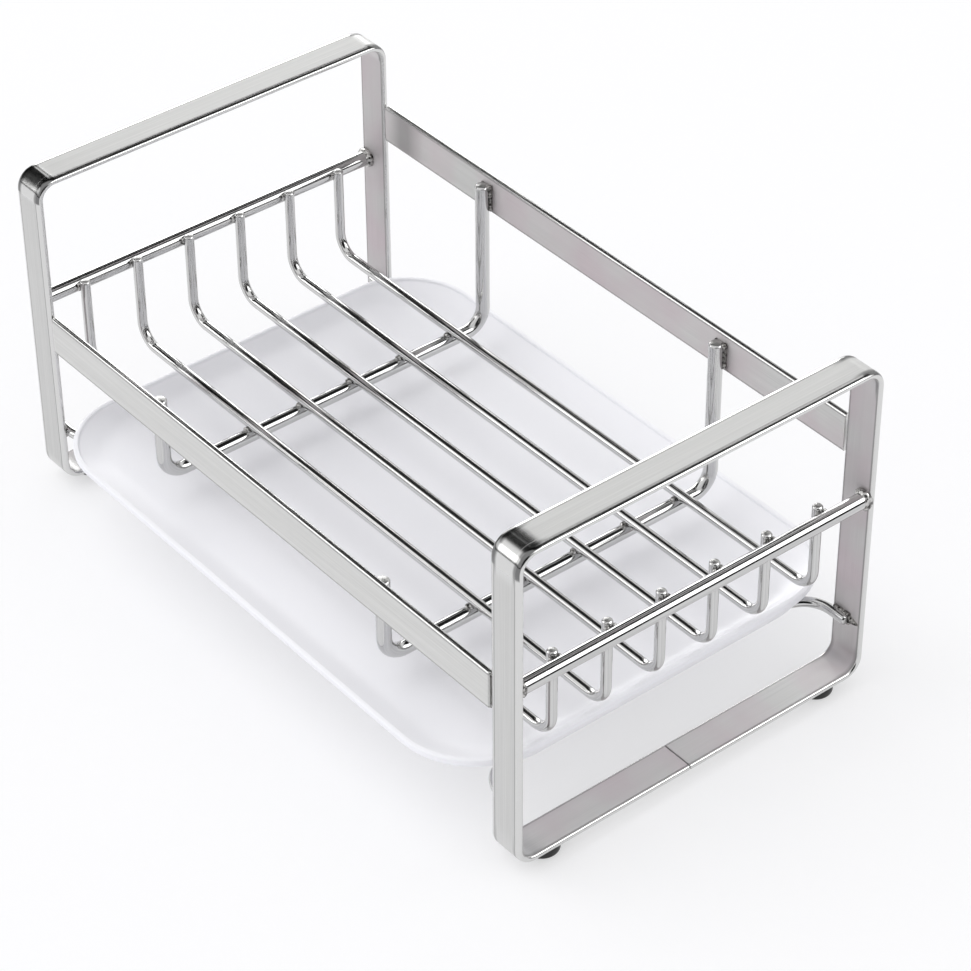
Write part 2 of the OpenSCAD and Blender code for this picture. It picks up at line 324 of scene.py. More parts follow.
def drawnWireSteel(name, look):
    material, tree = newMaterial(name)
    cut, grain, heat = (addNode(tree, "Attribute", {"attribute_name": key})
                        for key in ("cut", "grain", "heat"))
    place = (grain, "Vector")
    fine = 1/look["lineWidth"]
    lines = addNode(tree, "Mapping", {"Scale": (fine, fine, 1/look["lineLength"])}, {"Vector": place})
    streaks = addNode(tree, "TexNoise", {"Scale": 1.0, "Detail": 2.0}, {"Vector": (lines, "Vector")})
    peel = addNode(tree, "TexNoise", {"Scale": 1/look["orangePeelSize"], "Detail": 1.0}, {"Vector": place})
    tone = addNode(tree, "MapRange", {"From": look["toneRange"]}, {"Value": (streaks, "Fac")})
    steel = addNode(tree, "Mix", {"data_type": "RGBA", 6: look["steelDark"], 7: look["steel"]},
                    {0: (tone, 0)})
    patchy = look["tintPatchy"]
    blotch = addNode(tree, "MapRange", {"From": look["noiseRange"], "To": (-patchy, patchy)},
                     {"Value": (peel, "Fac")})
    spotted = addNode(tree, "Math", {"operation": "ADD", "use_clamp": True},
                      {0: (heat, "Fac"), 1: (blotch, 0)})
    tint = addNode(tree, "ValToRGB", {"stops": tintStops(look)}, {"Fac": (spotted, 0)})
    colour = addNode(tree, "Mix", {"data_type": "RGBA", "blend_type": "MULTIPLY", 0: 1.0},
                     {6: (steel, 2), 7: (tint, 0)})
    dulled = addNode(tree, "Mix", {"data_type": "RGBA", 7: look["cutSteel"]},
                     {0: (cut, "Fac"), 6: (colour, 2)})
    smooth, spread = look["roughness"], look["roughnessSpread"]
    base = addNode(tree, "MapRange", {"From": look["noiseRange"], "To": (smooth, smooth + spread)},
                   {"Value": (streaks, "Fac")})
    scale = addNode(tree, "Math", {"operation": "MULTIPLY_ADD", 1: look["scaleRoughness"]},
                    {0: (heat, "Fac"), 2: (base, 0)})
    sheared = addNode(tree, "Math", {"operation": "MULTIPLY_ADD", 1: look["cutRoughness"]},
                      {0: (cut, "Fac"), 2: (scale, 0)})
    torn = addNode(tree, "TexNoise", {"Scale": 1/look["cutGrain"], "Detail": 2.0}, {"Vector": place})
    lined = addNode(tree, "Bump", {"Strength": look["bumpShown"], "Distance": look["lineDepth"]*mm},
                    {"Height": (streaks, "Fac")})
    bump = addNode(tree, "Bump", {"Strength": look["bumpShown"], "Distance": look["orangePeelDepth"]*mm},
                   {"Height": (peel, "Fac"), "Normal": (lined, 0)})
    ragged = addNode(tree, "Bump", {"Distance": look["cutDepth"]*mm},
                     {"Strength": (cut, "Fac"), "Height": (torn, "Fac"), "Normal": (bump, 0)})
    shader = addNode(tree, "BsdfPrincipled", {"Metallic": 1.0},
                     {"Base Color": (dulled, 2), "Roughness": (sheared, 0), "Normal": (ragged, 0)})
    addNode(tree, "OutputMaterial", {}, {"Surface": (shader, 0)})
    return material


# Weld metal, cooled in air and lightly brushed: satin drops with a straw to grey bloom. The heavier welds on
# the rails and brackets are darker.
beadLook = {"metal": "#C9C8C6", "bloom": "#3B3A38", "bloomSize": 0.9, "bloomRange": (0.42, 0.66),
            "bloomRoughness": 0.2, "rippleSize": 0.45, "rippleDepth": 0.03, "rippleShown": 0.8,
            "roughness": 0.2}
darkBeadLook = {**beadLook, "metal": "#A09E9B", "bloom": "#232220"}


def weldMetal(name, look):
    material, tree = newMaterial(name)
    place = (addNode(tree, "TexCoord", {}), "Object")
    bloom = addNode(tree, "TexNoise", {"Scale": 1/(look["bloomSize"]*mm), "Detail": 2.0}, {"Vector": place})
    ripple = addNode(tree, "TexNoise", {"Scale": 1/(look["rippleSize"]*mm), "Detail": 2.0}, {"Vector": place})
    amount = addNode(tree, "MapRange", {"From": look["bloomRange"]}, {"Value": (bloom, "Fac")})
    colour = addNode(tree, "Mix", {"data_type": "RGBA", 6: look["metal"], 7: look["bloom"]}, {0: (amount, 0)})
    satin = look["roughness"]
    rough = addNode(tree, "MapRange", {"To": (satin, satin + look["bloomRoughness"])}, {"Value": (amount, 0)})
    bump = addNode(tree, "Bump", {"Strength": look["rippleShown"], "Distance": look["rippleDepth"]*mm},
                   {"Height": (ripple, "Fac")})
    shader = addNode(tree, "BsdfPrincipled", {"Metallic": 1.0},
                     {"Base Color": (colour, 2), "Roughness": (rough, 0), "Normal": (bump, 0)})
    addNode(tree, "OutputMaterial", {}, {"Surface": (shader, 0)})
    return material


stripSteel = groundStripSteel("ground_stainless_strip", stripLook)
wireSteel = drawnWireSteel("electropolished_stainless_wire", wireLook)
beadSteel = weldMetal("air_cooled_weld_metal", beadLook)
darkBeadSteel = weldMetal("heat_tinted_weld_metal", darkBeadLook)
print("steel materials ready")


wireNodes = [f"long_wire_{n}" for n in range(1, 7)]
wireY = [(cadBox(n)[0].y + cadBox(n)[1].y)/2 for n in wireNodes]
floorLow, floorHigh = cadBox("long_wire_1")
wireRadius = (floorHigh.y - floorLow.y)/2
floorZ = floorLow.z + wireRadius


# The places and radii, in mm, that the heat tint and the weld metal at one end are laid out from
def measureEnd(side):
    crossLow, crossHigh = cadBox(f"{side}_cross_wire")
    barLow, barHigh = cadBox(f"{side}_crossbar")
    armLow, armHigh = cadBox(f"{side}_tray_support")
    crossR = (crossHigh.x - crossLow.x)/2
    return {"crossX": (crossLow.x + crossHigh.x)/2, "crossR": crossR,
            "legY": {-1: crossLow.y + crossR, 1: crossHigh.y - crossR}, "legTop": crossHigh.z,
            "barX": (barLow.x + barHigh.x)/2, "barZ": (barLow.z + barHigh.z)/2, "barEnd": barHigh.y,
            "barR": (barHigh.z - barLow.z)/2, "armTip": armHigh.x if ends[side] > 0 else armLow.x,
            "armEnd": armHigh.y, "armZ": (armLow.z + armHigh.z)/2, "armR": (armHigh.z - armLow.z)/2}


# How far the heat tint reaches from each kind of weld, in mm, and how far a weld's middle lies down from the
# top of a leg or back from the tip of a bracket's arm
heatTint = {"floor": 3.0, "bar": 4.2, "rail": 6.5, "frame": 6.0, "arm": 5.0, "frontDown": 4.0,
            "backDown": 3.0, "armBack": 2.5}


def placeHeat(v):
    for side, sign in ends.items():
        at = measureEnd(side)
        for y in wireY:
            weldSpots.append(((at["crossX"], y, floorZ - wireRadius), v["floor"]))
            weldSpots.append(((at["barX"] - sign*at["barR"], y, at["barZ"]), v["bar"]))
        tops = {-1: cadBox("front_rail")[1].z - v["frontDown"], 1: at["legTop"] - v["backDown"]}
        for end in (-1, 1):
            weldSpots.append(((at["crossX"], at["legY"][end], tops[end]), v["rail"]))
            weldSpots.append(((at["barX"], end*at["barEnd"], at["barZ"]), v["frame"]))
            weldSpots.append(((at["armTip"] - sign*v["armBack"], end*at["armEnd"], at["armZ"]), v["arm"]))


placeHeat(heatTint)


# Painted dark reflections along the edges of a strip: widths in mm from where an edge begins to round, and
# how dark each is. A thin painted dark reflection lies on both sides of that place, and a wider one on the
# edges of
# the bends. brightFrom: from here out the rounded edge misses the belt and stays bright. crescentFrom: how
# much of a bend's full polish there is where the painted dark reflection in a crescent on its outer edge
# begins.
edgePolishAndPaintedDark = {"brightFrom": 0.16, "lineOut": 0.14, "lineIn": 0.17, "lineDark": 0.4, "bendEdgeWidth": 0.6,
             "bendEdgeDark": 0.62, "crescentWidth": 1.05, "crescentDark": 0.75, "crescentFrom": 0.8}


def markEdges(kept, width, edge, v, innerSide=1):
    inside = [width/2 - edge[b < 0] - abs(a) for a, b, along in kept["grain"]]
    kept["bright"] = [1.0 if d < -v["brightFrom"] else 0.0 for d in inside]
    kept["inner"] = [1.0 if b*innerSide > 0 else 0.0 for a, b, along in kept["grain"]]
    # painted dark reflections: a line beside each rounded edge, the edges of the bends and a crescent on a
    # bend's outer edge
    kept["burnished"] = []
    for (a, b, along), d, turned in zip(kept["grain"], inside, kept["bent"]):
        line = v["lineDark"] if -v["lineOut"] < d < v["lineIn"] else 0.0
        bendEdgeShade = v["bendEdgeDark"]*turned if 0.0 < d < v["bendEdgeWidth"] else 0.0
        outer = b < 0 and -v["crescentWidth"] < d < 0.0 and turned > v["crescentFrom"]
        kept["burnished"].append(max(line, bendEdgeShade, v["crescentDark"]*turned if outer else 0.0))


# lowPolish, backPolish: the lower and the back bends are ground over and keep this much of their polish.
# fade: how far a bend's polish runs out on the straights beside it, for each frame
endFrame = {"stripThick": 1.6, "bendRadius": 5.0, "edgeRadius": 0.7, "rolled": 1.25, "seamY": -1.5,
            "seamHalfWidth": 0.25, "seamDepth": 0.3, "seamPaintedShade": 0.45, "step": 3.0, "lowPolish": 0.35,
            "backPolish": 0.3, "fade": {"left": 1.0, "right": 4.6}}


def shapeEndFrame(side, v):
    node = f"{side}_end_frame"
    low, high = cadBox(node)
    half, width = v["stripThick"]/2, high.x - low.x
    front, back, bottom, top = low.y + half, high.y - half, low.z + half, high.z - half
    seam = (v["seamY"], bottom)
    corners = [seam, (back, bottom), (back, top), (front, top), (front, bottom), seam]
    path = bentPath(corners, v["bendRadius"] - half, v["step"], (0.1, v["seamHalfWidth"], 0.4),
                    v["fade"][side])
    total = path[-1][4]

    def sectionAt(along):  # the butt weld is a shallow V all round the strip
        gone = v["seamDepth"]*max(0.0, 1 - min(along, total - along)/v["seamHalfWidth"])
        return flatSection(width - 2*gone, -half + gone, half - gone, v["edgeRadius"], v["rolled"])

    origin = Vector(((low.x + high.x)/2, 0, 0))
    points, faces, kept = sweepBar(path, origin, yAxis, zAxis, sectionAt, closed=True)
    middle = (low.z + high.z)/2
    kept["bent"] = [b*(v["lowPolish"] if p.z < middle else 1.0) for b, p in zip(kept["bent"], points)]
    markEdges(kept, width, (v["edgeRadius"], v["rolled"]), edgePolishAndPaintedDark)
    kept["bent"] = [b*(v["backPolish"] if p.y > 0 else 1.0) for b, p in zip(kept["bent"], points)]
    # painted shade in the weld groove: the seam is darkened where the V is deepest
    for i, (a, b, along) in enumerate(kept["grain"]):
        if min(along, total - along) < v["seamHalfWidth"]/2:
            kept["burnished"][i] = v["seamPaintedShade"]
    makePiece(f"{side}_strip_frame", points, faces, kept, stripSteel, "rack", node)


for side in ends:
    shapeEndFrame(side, endFrame)
print("end frames shaped")


# A soft dark patch on a rail's inner face near its left end: how dark, how far from that end in mm, and how
# wide in mm
rails = {"edgeRadius": 0.55, "endBevel": 0.3, "endGap": 0.5, "step": 3.0, "darkPatch": 0.42, "darkPatchAt": 7.5,
         "darkPatchWidth": 5.0}


def shapeRail(name, node, outward, v):
    low, high = cadBox(node)
    half, height = (high.y - low.y)/2, high.z - low.z
    middle = Vector((0, (low.y + high.y)/2, (low.z + high.z)/2))
    path = bentPath([(low.x + v["endGap"], 0), (high.x - v["endGap"], 0)], 1, v["step"],
                    nearEnds=(0.15, v["endBevel"], 0.6, 1.2))
    total = path[-1][4]

    def sectionAt(along):
        gone = max(0.0, v["endBevel"] - min(along, total - along))
        lowB, highB = (-half + gone, half) if outward < 0 else (-half, half - gone)
        return flatSection(height, lowB, highB, v["edgeRadius"])

    # u runs along X and v points to the back, so the section's first measure is upright
    points, faces, kept = sweepBar(path, middle, xAxis, yAxis, sectionAt)
    markEdges(kept, height, (v["edgeRadius"],)*2, edgePolishAndPaintedDark, -outward)
    for i, (a, b, along) in enumerate(kept["grain"]):
        if b*outward < 0:
            darkPatch = v["darkPatch"]*math.exp(-((along - v["darkPatchAt"])/v["darkPatchWidth"])**2)
            kept["burnished"][i] = max(kept["burnished"][i], darkPatch)
    makePiece(name, points, faces, kept, stripSteel, "rack", node)


shapeRail("front_flat_rail", "front_rail", -1, rails)
shapeRail("back_flat_rail", "back_rail", 1, rails)
print("rails shaped")


wires = {"longBend": 5.5, "crossBend": 5.5, "bracketBend": 8.0, "chamfer": 0.4, "shoulder": 1.3, "step": 1.6,
         "barChamfer": 0.05}


def shapeWire(name, node, corners, bend, origin, uAxis, vAxis, radius, v):
    path = bentPath(corners, bend, v["step"], nearEnds=(0.1, 0.2, 0.3, v["chamfer"], 0.6))
    total = path[-1][4]

    def sectionAt(along):  # a cut end has a flat face, a small chamfer and a soft shoulder
        near = min(along, total - along)/v["chamfer"]
        return roundSection(radius - v["chamfer"]*max(0.0, 1 - near)**v["shoulder"])

    points, faces, kept = sweepBar(path, origin, uAxis, vAxis, sectionAt)
    makePiece(name, points, faces, kept, wireSteel, "rack", node)


for number, node in enumerate(wireNodes, 1):
    low, high = cadBox(node)
    r, bottom = wireRadius, low.z + wireRadius
    corners = [(low.x + r, high.z), (low.x + r, bottom), (high.x - r, bottom), (high.x - r, high.z)]
    shapeWire(f"basket_wire_{number}", node, corners, wires["longBend"], Vector((0, wireY[number - 1], 0)),
              xAxis, zAxis, r, wires)
for side in ends:
    node = f"{side}_cross_wire"
    low, high = cadBox(node)
    r = (high.x - low.x)/2
    frontTip = max(p.co.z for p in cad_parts[node].data.vertices if p.co.y < 0)/mm
    corners = [(low.y + r, frontTip), (low.y + r, low.z + r), (high.y - r, low.z + r), (high.y - r, high.z)]
    shapeWire(f"{side}_under_wire", node, corners, wires["crossBend"], Vector(((low.x + high.x)/2, 0, 0)),
              yAxis, zAxis, r, wires)
    node = f"{side}_tray_support"
    low, high = cadBox(node)
    r = (high.z - low.z)/2
    tip, run = (high.x, low.x + r) if ends[side] > 0 else (low.x, high.x - r)
    corners = [(tip, low.y + r), (run, low.y + r), (run, high.y - r), (tip, high.y - r)]
    shapeWire(f"{side}_tray_bracket", node, corners, wires["bracketBend"], Vector((0, 0, (low.z + high.z)/2)),
              xAxis, yAxis, r, wires)
    node = f"{side}_crossbar"
    low, high = cadBox(node)
    shapeWire(f"{side}_round_bar", node, [(low.y, 0), (high.y, 0)], 1,
              Vector(((low.x + high.x)/2, 0, (low.z + high.z)/2)), yAxis, zAxis, (high.z - low.z)/2,
              {**wires, "chamfer": wires["barChamfer"]})
print("wires and crossbars shaped")


# Weld metal, in mm. size and shape: a drop's radius and its three sides against that. beside: how far out
# from the middle of a wire, against the wire's radius. up, down, out, sunk: how far a drop is moved off its
# corner. from, to, step, count: where a row of drops runs. thins: how much of its shape a drop loses against
# the one before. moved, resized, uneven: how much the drops differ. lumps, filletLumps: how many lumps there
# are. frontShare: how thick a front fillet is against a back one. sunkShare: how much of its thickness a
# fillet is sunk.
beads = {
    "moved": 0.22, "resized": 0.3, "uneven": 0.22, "lumps": 1.3, "filletLumps": 2.2,
    "filletSteps": (40, 12),
    "corner": {"size": 0.8, "shape": (1.0, 0.9, 0.75), "out": 0.2, "up": 0.35},
    "bar": {"size": 0.75, "shape": (0.8, 0.8, 1.3), "beside": (0.95, 0.85), "up": 0.3},
    "rail": {"size": 0.75, "shape": (0.62, 0.75, 1.0), "beside": (0.9, 0.8), "from": 8.6, "to": 2.6,
             "step": 0.7},
    "tip": {"size": 0.75, "shape": (1.1, 1.0, 1.5), "beside": (0.85, 0.6), "down": 2.9},
    "arm": {"size": 1.0, "shape": (0.9, 0.7, 0.6), "beside": 0.85, "sunk": 0.35, "from": 0.7, "step": 0.6,
            "count": 7},
    "puddle": {"size": 1.0, "shape": (0.9, 0.9, 1.15), "thins": (0.0, 0.12, 0.22), "down": 0.1, "from": 0.1,
               "step": 0.55, "count": 4},
    "frame": {"size": 0.75, "shape": (1.0, 0.62, 0.9), "from": 0.9, "to": 0.6, "step": 1.0,
              "sunk": (0.05, 0.12)},
    "fillet": {"size": 1.2, "frontShare": 0.55, "sunkShare": 0.35}}


# One drop of weld metal, squashed to its three sizes and pushed out of round
def addDrop(edit, place, sizes, seed, v):
    made = bmesh.ops.create_icosphere(edit, subdivisions=3, radius=1.0)["verts"]
    for vert in made:
        lump = 1 + v["uneven"]*noise.noise(vert.co*v["lumps"] + Vector((seed*7.3, seed*3.1, seed*1.7)))
        squashed = Vector((vert.co.x*sizes[0], vert.co.y*sizes[1], vert.co.z*sizes[2]))
        vert.co = squashed*lump*mm + Vector(place)*mm


# A fillet of weld metal round a bar's end, with an uneven edge. The bar runs along Y.
def addFillet(edit, place, radius, thick, seed, v):
    (turns, sides), rings, wave = v["filletSteps"], [], v["filletLumps"]
    for i in range(turns):
        a = 2*math.pi*i/turns
        lump = 1 + v["uneven"]*2*noise.noise(Vector((math.cos(a)*wave, math.sin(a)*wave, seed*5.3)))
        ring = []
        for k in range(sides):
            b = 2*math.pi*k/sides
            reach = radius + thick*lump*math.cos(b)
            spot = Vector((reach*math.cos(a), thick*lump*math.sin(b), reach*math.sin(a)))
            ring.append(edit.verts.new((Vector(place) + spot)*mm))
        rings.append(ring)
    for i in range(turns):
        for k in range(sides):
            here, after = rings[i], rings[(i + 1) % turns]
            edit.faces.new((here[k], here[(k + 1) % sides], after[(k + 1) % sides], after[k]))


def weldPiece(name, drops, v, metal, fillets=()):
    edit = bmesh.new()
    for seed, (place, radius, thick) in enumerate(fillets):
        addFillet(edit, place, radius, thick, seed, v)
    bmesh.ops.recalc_face_normals(edit, faces=edit.faces)
    for seed, (place, sizes) in enumerate(drops):
        jitter = [noise.noise(Vector((seed*1.37 + k*9.1, len(drops), k))) for k in range(4)]
        place = [p + v["moved"]*j for p, j in zip(place, jitter)]
        addDrop(edit, place, [s*(1 + v["resized"]*jitter[3]) for s in sizes], seed + len(drops), v)
    for vert in edit.verts:  # dressed flush with the ends of the rack
        vert.co.x = max(cadBounds[0][0], min(cadBounds[1][0], vert.co.x))
    for face in edit.faces:
        face.smooth = True
    mesh = bpy.data.meshes.new(name)
    edit.to_mesh(mesh)
    edit.free()
    mesh.materials.append(metal)
    piece = placeObject(name, mesh)
    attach(piece, "rack")


def shapeWelds(v):
    drops = {key: [] for key in ("floor", "crossbar", "rail", "bracket", "frame")}
    fillets = []

    def lay(piece, kind, place, number=0):
        thins = v[kind].get("thins", (0, 0, 0))
        sizes = [v[kind]["size"]*(s - t*number) for s, t in zip(v[kind]["shape"], thins)]
        drops[piece].append((place, sizes))

    for side, sign in ends.items():
        at = measureEnd(side)
        crossX, crossR, barX, barZ, barR = (at[key] for key in ("crossX", "crossR", "barX", "barZ", "barR"))
        legX = barX - sign*(barR + wireRadius)
        corner, bar, rail, tip = v["corner"], v["bar"], v["rail"], v["tip"]
        for y in wireY:
            for away in (-1, 1):  # in the corner on each side of a long wire, on top of the cross wire
                lay("floor", "corner", (crossX, y + away*(wireRadius + corner["out"]),
                                        floorZ - wireRadius + corner["up"]))
            for away in (-1, 1):  # beside the leg, against the crossbar
                lay("crossbar", "bar", (legX + sign*wireRadius*bar["beside"][0],
                                        y + away*wireRadius*bar["beside"][1], barZ + bar["up"]))
        for end, top in ((-1, cadBox("front_rail")[1].z), (1, cadBox("back_rail")[1].z)):
            legY = at["legY"][end]
            for z in np.arange(top - rail["from"], top - rail["to"], rail["step"]):
                for away in (-1, 1):  # down both sides of a leg, where it lies on the rail
                    lay("rail", "rail", (crossX + away*crossR*rail["beside"][0],
                                         legY + end*crossR*rail["beside"][1], z))
            lay("rail", "tip", (crossX + crossR*tip["beside"][0], legY + end*crossR*tip["beside"][1],
                                top - tip["down"]))
        arm, puddle, fillet = v["arm"], v["puddle"], v["fillet"]
        for end in (-1, 1):
            thick = fillet["size"] if end > 0 else fillet["size"]*fillet["frontShare"]
            sunk = thick*fillet["sunkShare"]
            fillets.append(((barX, end*(at["barEnd"] - sunk), barZ), barR - sunk, thick))
            for i in range(arm["count"]):  # above and below a bracket's arm, along the upright
                along = arm["from"] + i*arm["step"]
                for up in (-1, 1):
                    lay("bracket", "arm", (at["armTip"] - sign*along, end*(at["armEnd"] - arm["sunk"]),
                                           at["armZ"] + up*at["armR"]*arm["beside"]))
            for i in range(puddle["count"]):  # the puddle past the arm's tip, thinning out
                lay("bracket", "puddle", (at["armTip"] + sign*(puddle["from"] + i*puddle["step"]),
                                          end*at["armEnd"], at["armZ"] - puddle["down"]*i), i)
        railLow, railHigh = cadBox("front_rail")
        row, sunk = v["frame"], v["frame"]["sunk"]
        # behind the front rail's end
        for z in np.arange(railLow.z + row["from"], railHigh.z - row["to"], row["step"]):
            lay("frame", "frame", (sign*(railHigh.x - sunk[0]), railHigh.y - sunk[1], z))
    for key, metal in (("floor", beadSteel), ("crossbar", beadSteel), ("rail", darkBeadSteel),
                       ("bracket", darkBeadSteel), ("frame", beadSteel)):
        weldPiece(f"{key}_weld_beads", drops[key], v, metal, fillets if key == "frame" else ())


shapeWelds(beads)
print("weld beads laid")


# Natural polypropylene, injection moulded: milky and nearly white, with a satin skin and soft highlights
trayLook = {"plastic": "#F9F9FD", "deep": "#F4F4F9", "flowSize": 60.0, "roughness": 0.36,
            "roughnessSpread": 0.05, "index": 1.49}
tray = {"wall": 1.3, "ramp": 6.5, "endDraft": 1.4, "endCove": 2.4, "lip": 1.9, "lipDraft": 0.2,
        "rimCorner": 20.0, "floorCorner": 17.0, "bottomRound": 1.2, "shoulderRound": 0.5, "rimRound": 0.55,
        "innerRound": 0.2, "floorRound": 2.2, "underInset": 9.0, "floorInset": (12.0, 10.0),
        "mostRound": 0.48, "cornerSteps": 22, "roundSteps": 5}


def milkyPolypropylene(name, look):
    material, tree = newMaterial(name)
    place = addNode(tree, "TexCoord", {})
    flow = addNode(tree, "TexNoise", {"Scale": 1/(look["flowSize"]*mm), "Detail": 2.0},
                   {"Vector": (place, "Object")})
    colour = addNode(tree, "Mix", {"data_type": "RGBA", 6: look["deep"], 7: look["plastic"]},
                     {0: (flow, "Fac")})
    satin, spread = look["roughness"], look["roughnessSpread"]
    rough = addNode(tree, "MapRange", {"To": (satin - spread, satin + spread)}, {"Value": (flow, "Fac")})
    shader = addNode(tree, "BsdfPrincipled", {"IOR": look["index"]},
                     {"Base Color": (colour, 2), "Roughness": (rough, 0)})
    addNode(tree, "OutputMaterial", {}, {"Surface": (shader, 0)})
    return material


# Corner points of the profile as (in from the ends, in from front and back, corner radius, height, rounding)
def trayProfile(v, height):
    wall, shoulder, draft = v["wall"], height - v["lip"], v["lipDraft"]
    rim, floor, under, (inX, inY) = v["rimCorner"], v["floorCorner"], v["underInset"], v["floorInset"]
    return [
        (v["endDraft"] + under, v["ramp"] + under, floor - under, 0, 0),
        (v["endDraft"], v["ramp"], floor, 0, v["bottomRound"]),
        (draft, draft, rim - draft, shoulder, v["shoulderRound"]),
        (0, 0, rim, height, v["rimRound"]),
        (wall, wall, rim - wall, height, v["rimRound"]),
        (draft + wall, draft + wall, rim - draft - wall, shoulder + wall, v["innerRound"]),
        (v["endDraft"] + wall + v["endCove"], v["ramp"] + wall, floor - wall, wall, v["floorRound"]),
        (v["endDraft"] + wall + inX, v["ramp"] + wall + inY, floor - wall - inY, wall, 0)]


def shapeTray(v):
    low, high = cadBox("drip_tray")
    halfX, halfY = (high.x - low.x)/2, (high.y - low.y)/2
    profile = [np.array(p, float) for p in trayProfile(v, high.z - low.z)]
    rings = [profile[0][:4]]
    for before, here, after in zip(profile, profile[1:], profile[2:]):
        back, on = before[:4] - here[:4], after[:4] - here[:4]
        reach = min(here[4], np.abs(back).max()*v["mostRound"], np.abs(on).max()*v["mostRound"])
        start = here[:4] + back/np.abs(back).max()*reach
        stop = here[:4] + on/np.abs(on).max()*reach
        for i in range(v["roundSteps"] + 1):
            t = i/v["roundSteps"]
            rings.append(start*(1 - t)**2 + here[:4]*2*t*(1 - t) + stop*t*t)
    rings.append(profile[-1][:4])
    points, faces = [], []
    for inX, inY, corner, z in rings:
        for sx, sy, start in ((1, 1, 0), (-1, 1, 90), (-1, -1, 180), (1, -1, 270)):
            for i in range(v["cornerSteps"] + 1):
                a = math.radians(start + 90*i/v["cornerSteps"])
                points.append(Vector((sx*(halfX - inX - corner) + corner*math.cos(a),
                                      sy*(halfY - inY - corner) + corner*math.sin(a), low.z + z)))
    n = 4*(v["cornerSteps"] + 1)
    for r in range(len(rings) - 1):
        faces += [(r*n + i, r*n + (i + 1) % n, (r + 1)*n + (i + 1) % n, (r + 1)*n + i) for i in range(n)]
    faces += [tuple(range(n)), tuple(range((len(rings) - 1)*n, len(rings)*n))]
    material = milkyPolypropylene("moulded_polypropylene", trayLook)
    makePiece("milky_drip_tray", points, faces, {}, material, "drip_tray", "drip_tray",
              crease=60)


shapeTray(tray)
print("tray moulded")


# Black nitrile rubber, moulded: satin, very dark, with a fine pebble from the mould
rubberLook = {"rubber": "#0B0B0C", "dust": "#19191A", "pebbleSize": 0.25, "pebbleDepth": 0.02,
              "pebbleShown": 0.6, "roughness": 0.42, "index": 1.52}
# dishLine: shares of the radius and of the dish's depth. topLine: in from the edge in mm, and share of the
# lip. merge: points closer than this, in m, become one
foot = {"edgeRound": 0.8, "lip": 0.35, "dish": 0.4, "turns": 48, "merge": 1e-6,
        "dishLine": ((0.0, 1.0), (0.45, 1.0), (0.6, 0.4), (0.68, 0.05)),
        "topLine": ((0.0, 1.0), (0.15, 0.3), (0.4, 0.0))}


def mouldedRubber(name, look):
    material, tree = newMaterial(name)
    place = addNode(tree, "TexCoord", {})
    pebble = addNode(tree, "TexNoise", {"Scale": 1/(look["pebbleSize"]*mm), "Detail": 2.0},
                     {"Vector": (place, "Object")})
    colour = addNode(tree, "Mix", {"data_type": "RGBA", 6: look["rubber"], 7: look["dust"]},
                     {0: (pebble, "Fac")})
    bump = addNode(tree, "Bump", {"Strength": look["pebbleShown"], "Distance": look["pebbleDepth"]*mm},
                   {"Height": (pebble, "Fac")})
    shader = addNode(tree, "BsdfPrincipled", {"Roughness": look["roughness"], "IOR": look["index"]},
                     {"Base Color": (colour, 2), "Normal": (bump, 0)})
    addNode(tree, "OutputMaterial", {}, {"Surface": (shader, 0)})
    return material


def shapeFoot(node, material, v):
    low, high = cadBox(node)
    centre = Vector(((low.x + high.x)/2, (low.y + high.y)/2, low.z))
    r, height, e, n = (high.x - low.x)/2, high.z - low.z, v["edgeRound"], v["turns"]
    outline = [(r*out, v["dish"]*up) for out, up in v["dishLine"]] + [(r - e, 0)]
    for degrees in range(15, 91, 15):
        a = math.radians(degrees)
        outline.append((r - e + e*math.sin(a), e - e*math.cos(a)))
    outline += [(r - inside, height - v["lip"]*down) for inside, down in v["topLine"]] + [(0, height)]
    points, faces = [], []
    for radius, z in outline:
        for i in range(n):
            a = 2*math.pi*i/n
            points.append(centre + Vector((radius*math.cos(a), radius*math.sin(a), z)))
    for k in range(len(outline) - 1):
        faces += [(k*n + i, k*n + (i + 1) % n, (k + 1)*n + (i + 1) % n, (k + 1)*n + i) for i in range(n)]
    piece = makePiece(node.replace("foot", "pad"), points, faces, {}, material, "rack", node)
    edit = bmesh.new()
    edit.from_mesh(piece.data)
    bmesh.ops.remove_doubles(edit, verts=edit.verts, dist=v["merge"])
    bmesh.ops.dissolve_degenerate(edit, edges=edit.edges, dist=v["merge"])
    edit.to_mesh(piece.data)
    edit.free()


rubber = mouldedRubber("moulded_nitrile_rubber", rubberLook)
for where in ("front_left", "front_right", "back_left", "back_right"):
    shapeFoot(where + "_foot", rubber, foot)
print("feet moulded")


def aimLamp(name, lamp, towards):
    holder = placeObject(name, lamp)
    holder.rotation_euler = (-Vector(towards)).to_track_quat("-Z", "Y").to_euler()
    return holder


# 1 for rays from the camera and for those that are mirrored or let through, 0 for the light on the object
def rayShown(tree):
    ray = addNode(tree, "LightPath", {})
    direct = addNode(tree, "Math", {"operation": "MAXIMUM"},
                     {0: (ray, "Is Camera Ray"), 1: (ray, "Is Glossy Ray")})
    return addNode(tree, "Math", {"operation": "MAXIMUM"}, {0: (direct, 0), 1: (ray, "Is Transmission Ray")})


# lift: share of plain white that lightens the floor where it is looked at. size: half its width in m
floorCard = {"colour": "#FBFBFE", "white": "#FFFFFF", "lift": 0.5, "roughness": 0.9, "specular": 0.1,
             "size": 4.0}


